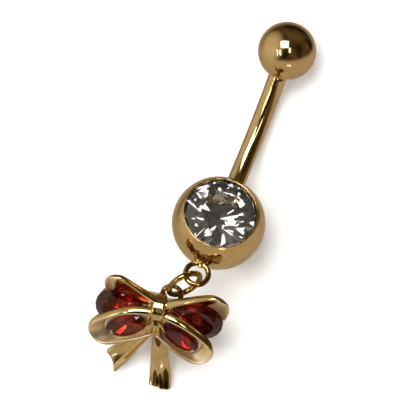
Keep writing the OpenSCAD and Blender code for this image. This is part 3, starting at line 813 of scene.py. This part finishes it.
def tail_ribbon(rows, bow, rise_at, end_at, painted_shade_at=None, across=33):
    """A tail with rounded long edges and a rounded cut end."""
    half_t = mm(bow, "tail_t") / 2
    curve = smooth_rows(rows, TAIL_STEPS)
    count = len(curve)

    def u_at(j):
        """Closer points towards both edges, which are half round."""
        return 0.5 - 0.5 * math.cos(math.pi * j / (across - 1))

    sections = []
    for i, (lx, ly, rx, ry, z) in enumerate(curve):
        left, right = np.array([lx, ly, z]), np.array([rx, ry, z])
        along = curve[min(i + 1, count - 1)] - curve[max(i - 1, 0)]
        way = np.array([(along[0] + along[2]) / 2, (along[1] + along[3]) / 2, along[4]])
        way /= np.linalg.norm(way)
        near_end = max(0.0, (i - count + TAIL_STEPS + 1) / TAIL_STEPS) ** 2
        width = np.linalg.norm(right - left)
        top, under = [], []
        for u in (u_at(j) for j in range(across)):
            inset = min(1.0, min(u, 1 - u) * width / half_t)
            edge = math.sqrt(max(0.0, 1 - (1 - inset) ** 2))
            middle = left + (right - left) * u + way * near_end * end_at(u)
            rise = rise_at(u, i / (count - 1))
            top.append(middle + np.array([0, 0, half_t * edge + rise]))
            under.append(middle + np.array([0, 0, -half_t * edge + rise * 0.5]))
        sections.append(top + under[::-1][1:-1])
    # the cut end is rounded over, towards the height halfway between its top and its underside
    tip = np.array(sections[-1])
    opposite = [-j % len(tip) for j in range(len(tip))]
    half_way = (tip[:, 2] + tip[opposite, 2]) / 2
    for share, push in TAIL_TIP:
        rounded = tip + way * push
        rounded[:, 2] = half_way + (rounded[:, 2] - half_way) * share
        sections.append(rounded)
    points, faces, _ = lofted(sections)
    numbers = [CAST] * len(faces)
    # painted shade: faces that the test picks get the dark gold
    for k in range(len(faces) - 2 if painted_shade_at else 0):
        i, j = divmod(k, len(tip))
        if j < across - 1 and painted_shade_at(u_at(j + 0.5), i / (count - 1)):
            numbers[k] = PAINTED_SHADE
    return points, faces, numbers


def ball(at, sizes, turn=0.0, tip=0.0):
    """An ellipsoid."""
    side = [(sind(180 * k / 16), -cosd(180 * k / 16)) for k in range(1, 16)]
    points, faces, number = spun([(0, -1)] + side + [(0, 1)], 24)
    return points * sizes @ turned("X", tip).T @ turned("Z", turn).T + at, faces, number


def melted(name, forms, voxel, rounds):
    """Melts overlapping closed forms into one smooth casting."""
    points, faces, _ = joined(forms)
    mesh = bpy.data.meshes.new(name)
    mesh.from_pydata(points, [], faces)
    form = bpy.data.objects.new(name, mesh)
    bpy.context.scene.collection.objects.link(form)
    remesh = form.modifiers.new("melt", "REMESH")
    remesh.mode, remesh.voxel_size = "VOXEL", voxel
    smooth = form.modifiers.new("ease", "SMOOTH")
    smooth.factor, smooth.iterations = 0.5, rounds
    melt = form.evaluated_get(bpy.context.evaluated_depsgraph_get())
    solid = melt.to_mesh()
    points = np.array([v.co[:] for v in solid.vertices])
    faces = [tuple(p.vertices) for p in solid.polygons]
    melt.to_mesh_clear()
    bpy.data.objects.remove(form)
    return points, faces, CAST


# x, y, z, then the half width and half length, and the turn of each fold that spills out under the knot
FOLDS = [(-0.72, -1.75, 0.72, 0.15, 0.80, -32), (-0.45, -1.70, 0.90, 0.20, 0.85, -16),
         (-0.08, -1.85, 0.96, 0.16, 0.85, -2), (0.24, -1.75, 0.90, 0.15, 0.85, 12),
         (0.50, -1.45, 0.74, 0.14, 0.80, 26), (-0.66, -0.50, 0.95, 0.16, 0.55, -24),
         (0.58, -0.75, 0.86, 0.13, 0.42, 34), (-0.62, 0.32, 0.78, 0.13, 0.36, 20),
         (0.66, 0.45, 0.66, 0.13, 0.40, -20), (-0.28, -2.35, 0.66, 0.15, 0.50, -14),
         (0.12, -2.4, 0.66, 0.15, 0.55, 4)]
FOLD_HEIGHT = 0.34
# the middle and half widths of what fills the knot behind its band, and of a small fillet at each side
KNOT_FILL = [((0.02, 0.1, -0.1), (0.50, 0.8, 1.0)), ((0.0, 0.2, -0.6), (0.48, 0.8, 0.75)),
             ((-0.78, -0.10, -0.35), (0.40, 0.30, 0.22)), ((0.74, -0.42, -0.35), (0.46, 0.32, 0.24))]


def knot_forms():
    """The knot's band, which bulges in front, and the folds that spill out under it, as overlapping ellipsoids."""
    return ([ball((x, 0.24, 0.68), (0.36, 1.16, 0.84), tip=-46) for x in (-0.34, -0.17, 0.01, 0.19, 0.36)]
            + [ball(*fill) for fill in KNOT_FILL]
            + [ball((x, y, z), (w, l, FOLD_HEIGHT), turn) for x, y, z, w, l, turn in FOLDS]
            + [ball((-0.05, -1.45, 0.42), (0.62, 1.05, 0.45))])


WAVE_SIZE, WAVE_SEED = 0.9, 5   # millimetres from wave to wave, and the seed that keeps them the same each time


def waved(points, height):
    """Moves points a little, as a hand-finished casting is never quite even."""
    return np.array([p + height * np.array(noise.noise_vector(Vector(p / WAVE_SIZE))) for p in points])


# Operators

def side_name(side):
    return "left" if side < 0 else "right"


LIP = 0.04                                       # the stone ball's lip is rolled over by a hair
BAR_OVERRUN, BAR_CHAMFER, BAR_STEPS = 0.9, 0.06, 72   # the bar starts in the ball, and its end is chamfered
THREAD_DEPTH, THREAD_FADE, THREAD_ROUNDING, THREAD_SUNK = 0.09, 0.15, 0.1, 0.2
THREAD_ROWS, THREAD_TURN = 12, 48                # steps along each thread, and round it
SOLDER_R, SOLDER_NARROWS, SOLDER_HEIGHT, SOLDER_SUNK = 0.40, 0.2, 0.36, 0.15
BORE_CHAMFER = 0.05
BOW_SHARP = 40.0                                 # a cast edge sharper than this, in degrees, shows as an edge
SEAT_TOP, SEAT_THICK, SEAT_OUTER, SEAT_INNER, SEAT_CHAMFER = -1.16, 0.4, 0.93, 0.745, 0.03
NECK_AT, NECK_SIZE = (0.75, -0.2, -1.36), (1.15, 0.2, 0.19)


class NAVELRING_OT_barbell(bpy.types.Operator):
    """Build the stone ball, the curved bar, its threaded stub and the eye"""
    bl_idname = "navelring.barbell"
    bl_label = "Barbell"

    def execute(self, context):
        scene = context.scene
        lay, bar, stones, made = Layout(scene), scene.navel_bar, scene.navel_stones, finishes(scene)
        gold = [made["steel"]]
        gap = mm(stones, "stone_gap")
        seat_r, seat_foot = lay.crystal_r + gap, lay.girdle_foot - gap
        rim_angle = math.degrees(math.asin(lay.rim_height / lay.gem_r))
        profile = [(0, -lay.gem_r)] + arc((0, 0), lay.gem_r, -88, rim_angle - 1.2, 72)
        profile += arc((lay.rim_r - LIP * 0.7, lay.rim_height - LIP), LIP, 55, 170, 8)
        profile += [(seat_r, lay.rim_height - 2.5 * LIP), (seat_r, seat_foot),
                    (gap, seat_foot - mm(stones, "crystal_pavilion")),
                    (0, seat_foot - mm(stones, "crystal_pavilion") - gap)]
        fitted("stone_ball", lay.at_crystal, spun(profile, scene.navel_stage.rounds), gold, "barbell")

        sections = []
        overrun = math.degrees(BAR_OVERRUN / lay.bend_r)
        for i in range(BAR_STEPS + 1):
            a = -lay.half_bend - overrun + (2 * lay.half_bend + overrun) * i / BAR_STEPS
            r = lay.bar_r - (BAR_CHAMFER if i == BAR_STEPS else 0)
            out = np.array([0, sind(a), -cosd(a)])
            centre = np.array([0, *lay.bend_centre]) + lay.bend_r * out
            sections.append([centre + r * (cosd(b) * np.array([1, 0, 0]) + sind(b) * out)
                             for b in (360 * j / 40 for j in range(40))])
        fitted("bar", lay.in_plane, lofted(sections), gold, "barbell")

        pitch, major, top = mm(bar, "thread_pitch"), mm(bar, "stub_d") / 2, mm(bar, "stub_length")
        turns = [360 * j / THREAD_TURN for j in range(THREAD_TURN)]
        sections = [[(major * 0.9 * cosd(a), major * 0.9 * sind(a), -THREAD_SUNK) for a in turns]]
        count = int(top / pitch * THREAD_ROWS)
        for z in (top * i / count for i in range(count + 1)):
            fade = min(1.0, z / THREAD_FADE, (top - z) / THREAD_FADE)
            rounding = THREAD_ROUNDING * max(0.0, 1 - (top - z) / 0.12)
            groove = [THREAD_DEPTH * fade * abs(2 * ((z / pitch + j / THREAD_TURN) % 1) - 1)
                      for j in range(THREAD_TURN)]
            sections.append([((major - g - rounding) * cosd(a), (major - g - rounding) * sind(a), z)
                             for a, g in zip(turns, groove)])
        fitted("thread", lay.at_bar_end, lofted(sections), gold, "barbell")

        eye = wire_ring(mm(bar, "eye_r"), mm(bar, "eye_wire_d") / 2, 96, 28)
        fitted("eye", lay.at_eye, eye, [made["wire"]], "barbell")
        # a fillet of solder where the eye meets the ball
        fillet = [(SOLDER_R - SOLDER_NARROWS * sind(t * 90), SOLDER_HEIGHT * t) for t in (i / 8 for i in range(9))]
        solder = spun([(0, -SOLDER_SUNK), (SOLDER_R + 0.02, -SOLDER_SUNK)] + fillet + [(0, SOLDER_HEIGHT)], 40)
        way = turned("X", 90 - lay.entry)
        foot = lay.at_crystal[1] + way @ np.array([0, 0, lay.gem_r - 0.02])
        fitted("eye_solder", (way, foot), solder, gold, "barbell")
        return {"FINISHED"}


class NAVELRING_OT_screw_ball(bpy.types.Operator):
    """Build the ball that screws onto the bar"""
    bl_idname = "navelring.screw_ball"
    bl_label = "Screw Ball"

    def execute(self, context):
        scene = context.scene
        lay, bar = Layout(scene), scene.navel_bar
        gap = mm(bar, "screw_gap")
        bore, depth = mm(bar, "stub_d") / 2 + gap, mm(bar, "stub_length") + 2 * gap
        flat_r = math.sqrt(lay.top_r ** 2 - (lay.top_reach - gap) ** 2)
        start = -math.degrees(math.acos(flat_r / lay.top_r))
        profile = [(0, depth), (bore, depth), (bore, gap + 0.06), (bore + BORE_CHAMFER, gap), (flat_r - 0.02, gap)]
        profile += arc((0, lay.top_reach), lay.top_r, start + 0.6, 88, 72) + [(0, lay.top_reach + lay.top_r)]
        fitted("screw_ball_shell", lay.at_bar_end, spun(profile, scene.navel_stage.rounds),
               [finishes(scene)["steel"]], "screw_ball", body="screw_ball")
        return {"FINISHED"}


class NAVELRING_OT_crystal(bpy.types.Operator):
    """Cut the clear round stone"""
    bl_idname = "navelring.crystal"
    bl_label = "Clear Stone"

    def execute(self, context):
        scene = context.scene
        lay, stones, made = Layout(scene), scene.navel_stones, finishes(scene)
        cut = (CRYSTAL_TABLE, mm(stones, "crystal_crown"), lay.girdle_top, mm(stones, "crystal_girdle"),
               mm(stones, "crystal_pavilion"), CRYSTAL_LOW)
        cut_stone("clear_stone", lay.at_crystal, ellipse_outline(lay.crystal_r, lay.crystal_r), cut, made["clear"],
                  made["foil"], "crystal", turn=22.5)
        return {"FINISHED"}


class NAVELRING_OT_jump_ring(bpy.types.Operator):
    """Build the jump ring that links the eye and the bow"""
    bl_idname = "navelring.jump_ring"
    bl_label = "Jump Ring"

    def execute(self, context):
        scene = context.scene
        lay = Layout(scene)
        points, faces, number = wire_ring(lay.ring_r, mm(scene.navel_bar, "ring_wire_d") / 2, 120, 28, opening=1.6)
        fitted("jump_ring_wire", lay.at_ring, (points @ turned("Z", 205).T, faces, number),
               [finishes(scene)["wire"]], "jump_ring")
        return {"FINISHED"}


class NAVELRING_OT_bow(bpy.types.Operator):
    """Build the bow's loops, tails, knot, stone seats and bail"""
    bl_idname = "navelring.bow"
    bl_label = "Ribbon Bow"

    def execute(self, context):
        scene = context.scene
        lay, bow, stones, made = Layout(scene), scene.navel_bow, scene.navel_stones, finishes(scene)
        cover = [made[key] for key in BOW_COVER]
        noise.seed_set(WAVE_SEED)
        forms = {}
        for row in UPPER_LOOPS:
            forms["upper_loop_" + side_name(row[0])] = upper_ribbon(row, scene)
            forms["upper_web_" + side_name(row[0])] = upper_web(row, scene)
        for row in LOWER_LOOPS:
            forms["lower_loop_" + side_name(row[0])] = lower_ribbon(row, scene)
            forms["lower_floor_" + side_name(row[0])] = lower_floor(row, scene)
        # the right tail gets painted shade in its flutes and under the folds
        forms["tail_right"] = tail_ribbon(RIGHT_TAIL, bow, right_tail_rise, right_tail_end, in_painted_shade, across=49)
        forms["tail_left"] = tail_ribbon(LEFT_TAIL, bow, left_tail_rise, left_tail_end)
        forms["knot_and_folds"] = melted("knot_forms", knot_forms(), 0.045, 5)
        points, faces, _ = wire_ring(mm(bow, "bail_r"), mm(bow, "bail_wire_d") / 2, 72, 24)
        forms["bail"] = (points + BAIL_AT, faces, WIRE)
        for name, (points, faces, numbers) in forms.items():
            form = (waved(points, mm(bow, "hammering")), faces, numbers)
            fitted(name, lay.in_bow, form, cover, "bow", sharp_degrees=BOW_SHARP)

        # a flat ring under each upper stone, and the neck that joins it to the knot
        for side, (x, y) in PEARS.items():
            outer, inner = (turned_flat(pear_outline(stones) * share, pear_aim(x, y, side), (side * x, y))
                            for share in (SEAT_OUTER, SEAT_INNER))
            under = SEAT_TOP - SEAT_THICK
            sections = [[(*p, under), (*p, SEAT_TOP - SEAT_CHAMFER), (*(p * 0.98 + q * 0.02), SEAT_TOP),
                         (*q, SEAT_TOP), (*q, under)] for p, q in zip(outer, inner)]
            neck = ball(NECK_AT * np.array((side, 1, 1)), NECK_SIZE)
            fitted("stone_seat_" + side_name(side), lay.in_bow, joined([lofted(sections, closed=True), neck]),
                   [made["satin_and_painted_sheen"]], "bow", sharp_degrees=BOW_SHARP)
        return {"FINISHED"}


class NAVELRING_OT_red_stones(bpy.types.Operator):
    """Cut the four red stones of the bow"""
    bl_idname = "navelring.red_stones"
    bl_label = "Red Stones"

    def execute(self, context):
        scene = context.scene
        lay, stones, made = Layout(scene), scene.navel_stones, finishes(scene)
        oval = ellipse_outline(mm(stones, "oval_l") / 2, mm(stones, "oval_w") / 2, 0.5)
        rows = [("upper_stone_", side, x, y, pear_outline(stones), PEAR_CUT, pear_aim(x, y, side))
                for side, (x, y) in PEARS.items()]
        rows += [("lower_stone_", side, x, y, oval, OVAL_CUT, side * angle)
                 for side, (x, y, angle) in OVALS.items()]
        for kind, side, x, y, outline, cut, turn in rows:
            node = kind + side_name(side)
            cut_stone(node + "_cut", lay.in_bow, outline, cut, made["red"], made["foil"], node, turn,
                      (side * x, y))
        return {"FINISHED"}


# Stage: floor, lights, room and camera

CAMERA_TOWARDS = Vector((0.07942122, 0.05182167, 0.99549324))
CAMERA_RIGHT = Vector((0.9273615, 0.3624621, -0.09285404))
CAMERA_UP = Vector((-0.36564042, 0.93055668, -0.01927024))
CAMERA_AT = (-1.586, 1.973)          # where the camera looks, across and up from a point above the origin
CAMERA_AT_HEIGHT = 4
LIGHT_DISTANCE = 300 * MM
LIT_POINT = Vector((0, 0.002, 0.003))
# name, way as the camera sees it (across, up and towards it), width and height in millimetres, brightness setting
LIGHTS = [
    # an arched window above and to the left, made of a wide pane and narrow ones
    ("window_top", (-0.17, 0.41, 0.89), (150, 132), "key"),
    ("window_left", (-0.47, -0.12, 0.87), (17, 105), "key"),
    ("window_far_left", (-0.64, -0.12, 0.76), (9, 120), "key"),
    ("window_right", (0.16, 0.02, 0.99), (20, 90), "key"),
    ("bench_strip", (0.12, -0.88, 0.46), (70, 16), "strip"),
    ("shadow_panel", (-0.80, 0.15, 0.58), (120, 120), "shadow"),
    ("ceiling_card", (0.0, 0.0, 1.0), (420, 420), "ceiling"),
]
UNMIRRORED = ("shadow_panel", "ceiling_card")   # these only light, and don't show in metal or glass
ROOM_DARK, ROOM_LIGHT = (0.35, "#251E13"), (0.70, "#6C5C42")
# way as the camera sees it, where the glow starts and is full, how it rises, colour
ROOM_GLOWS = [
    ((0, -0.848, -0.529), 0.10, 0.34, "LINEAR", "#C4B8A6"),         # the bench in front and below
    ((-0.93, 0.22, 0.30), 0.45, 0.95, "SMOOTHSTEP", "#DAD2C4"),     # a warm wall at the left
    ((0, 0, -1), 0.35, 0.95, "SMOOTHSTEP", "#B4A896"),              # the surface below, in the rims of the balls
]


def as_seen(across, up, towards):
    """A way given as the camera sees it."""
    return CAMERA_RIGHT * across + CAMERA_UP * up + CAMERA_TOWARDS * towards


def aimed(name, data, at, target):
    """An object that looks along its own -z from at to target."""
    back = (at - target).normalized()
    right = CAMERA_UP.cross(back).normalized()
    thing = bpy.data.objects.new(name, data)
    thing.matrix_world = Matrix.Translation(at) @ Matrix((right, back.cross(right), back)).transposed().to_4x4()
    bpy.context.scene.collection.objects.link(thing)
    return thing


def soft_box(name, way, size, radiance):
    """A rectangle of light."""
    data = bpy.data.lights.new(name, "AREA")
    data.shape, data.size, data.size_y = "RECTANGLE", size[0] * MM, size[1] * MM
    data.energy = radiance * math.pi * data.size * data.size_y
    thing = aimed(name, data, LIT_POINT + as_seen(*way).normalized() * LIGHT_DISTANCE, LIT_POINT)
    thing.visible_camera = False
    if name in UNMIRRORED:
        thing.visible_glossy = thing.visible_transmission = False


class NAVELRING_OT_stage(bpy.types.Operator):
    """Lay the floor and set the lights and the camera"""
    bl_idname = "navelring.stage"
    bl_label = "Stage"

    @staticmethod
    def card(colour):
        """Matte white card with a faint tooth, which takes soft shadows and no reflections."""
        material, shader, where = new_material("matte_white_card")
        grain = add_node(material, "ShaderNodeTexNoise", [("Vector", where, "Object")],
                         Scale=1 / (0.4 * MM), Detail=3.0)
        tooth = add_node(material, "ShaderNodeBump", [("Height", grain, "Fac")], Strength=0.1, Distance=0.01 * MM)
        material.node_tree.links.new(tooth.outputs["Normal"], shader.inputs["Normal"])
        shader.inputs["Base Color"].default_value = linear(colour)
        shader.inputs["Roughness"].default_value = 0.8
        return material

    @staticmethod
    def room(scene):
        """A dim and uneven room above, with glows below and at the left, as they show in polished metal."""
        world = bpy.data.worlds.new("studio")
        scene.world = world
        world.use_nodes = True
        where = add_node(world, "ShaderNodeTexCoord")
        patches = add_node(world, "ShaderNodeTexNoise", [("Vector", where, "Generated")], Scale=1.3, Detail=1.0)
        seen, output = add_node(world, "ShaderNodeValToRGB", [("Fac", patches, "Fac")]), "Color"
        set_ramp(seen, ROOM_DARK, ROOM_LIGHT)
        for way, start, full, rise, colour in ROOM_GLOWS:
            side = add_node(world, "ShaderNodeVectorMath", [(0, where, "Generated")], [(1, as_seen(*way))],
                            operation="DOT_PRODUCT")
            share = add_node(world, "ShaderNodeMapRange", [("Value", side, "Value")],
                             [("From Min", start), ("From Max", full)], interpolation_type=rise)
            seen, output = add_node(world, "ShaderNodeMix", [("Factor", share, "Result"), (6, seen, output)],
                                    [(7, linear(colour))], data_type="RGBA"), 2
        world.node_tree.links.new(seen.outputs[output], world.node_tree.nodes["Background"].inputs["Color"])

    def execute(self, context):
        scene = context.scene
        stage = scene.navel_stage
        half = 400.0
        corners = [(-half, -half, 0), (half, -half, 0), (half, half, 0), (-half, half, 0)]
        floor = mesh_piece("floor", (corners, [(0, 1, 2, 3)], 0), [self.card(scene.navel_finish.floor)], None)
        floor.visible_glossy = False
        for name, way, size, setting in LIGHTS:
            soft_box(name, way, size, getattr(stage, setting))
        self.room(scene)
        scene.view_settings.view_transform = "Standard"
        scene.view_settings.look = "None"

        data = bpy.data.cameras.new("camera")
        data.lens, data.sensor_width = stage.lens, 36.0
        data.clip_start, data.clip_end = 0.005, 5.0
        target = Vector((0, 0, CAMERA_AT_HEIGHT * MM)) + as_seen(*CAMERA_AT, 0) * MM
        scene.camera = aimed("camera", data, target + CAMERA_TOWARDS * stage.distance, target)
        return {"FINISHED"}


class NAVELRING_PT_sidebar(bpy.types.Panel):
    """Lists the steps that build the navel ring"""
    bl_idname = "NAVELRING_PT_sidebar"
    bl_label = "Navel Ring"
    bl_space_type = "VIEW_3D"
    bl_region_type = "UI"
    bl_category = "Navel Ring"

    def draw(self, context):
        for step in STEPS:
            self.layout.operator(step.bl_idname)
        for group in SETTINGS:
            box = self.layout.box()
            for name in group.__annotations__:
                box.prop(getattr(context.scene, SETTINGS[group]), name)


SETTINGS = {NavelRingBar: "navel_bar", NavelRingStones: "navel_stones", NavelRingBow: "navel_bow",
            NavelRingFinish: "navel_finish", NavelRingStage: "navel_stage"}
STEPS = (NAVELRING_OT_stage, NAVELRING_OT_barbell, NAVELRING_OT_screw_ball, NAVELRING_OT_crystal,
         NAVELRING_OT_jump_ring, NAVELRING_OT_bow, NAVELRING_OT_red_stones)


def register():
    for group, name in SETTINGS.items():
        bpy.utils.register_class(group)
        setattr(bpy.types.Scene, name, PointerProperty(type=group))
    for step in STEPS:
        bpy.utils.register_class(step)
    bpy.utils.register_class(NAVELRING_PT_sidebar)


def unregister():
    bpy.utils.unregister_class(NAVELRING_PT_sidebar)
    for step in reversed(STEPS):
        bpy.utils.unregister_class(step)
    for group, name in SETTINGS.items():
        delattr(bpy.types.Scene, name)
        bpy.utils.unregister_class(group)


def main():
    register()
    bpy.ops.navelring.stage()
    bpy.ops.navelring.barbell()
    bpy.ops.navelring.screw_ball()
    bpy.ops.navelring.crystal()
    bpy.ops.navelring.jump_ring()
    bpy.ops.navelring.bow()
    bpy.ops.navelring.red_stones()


if __name__ == "__main__":
    main()
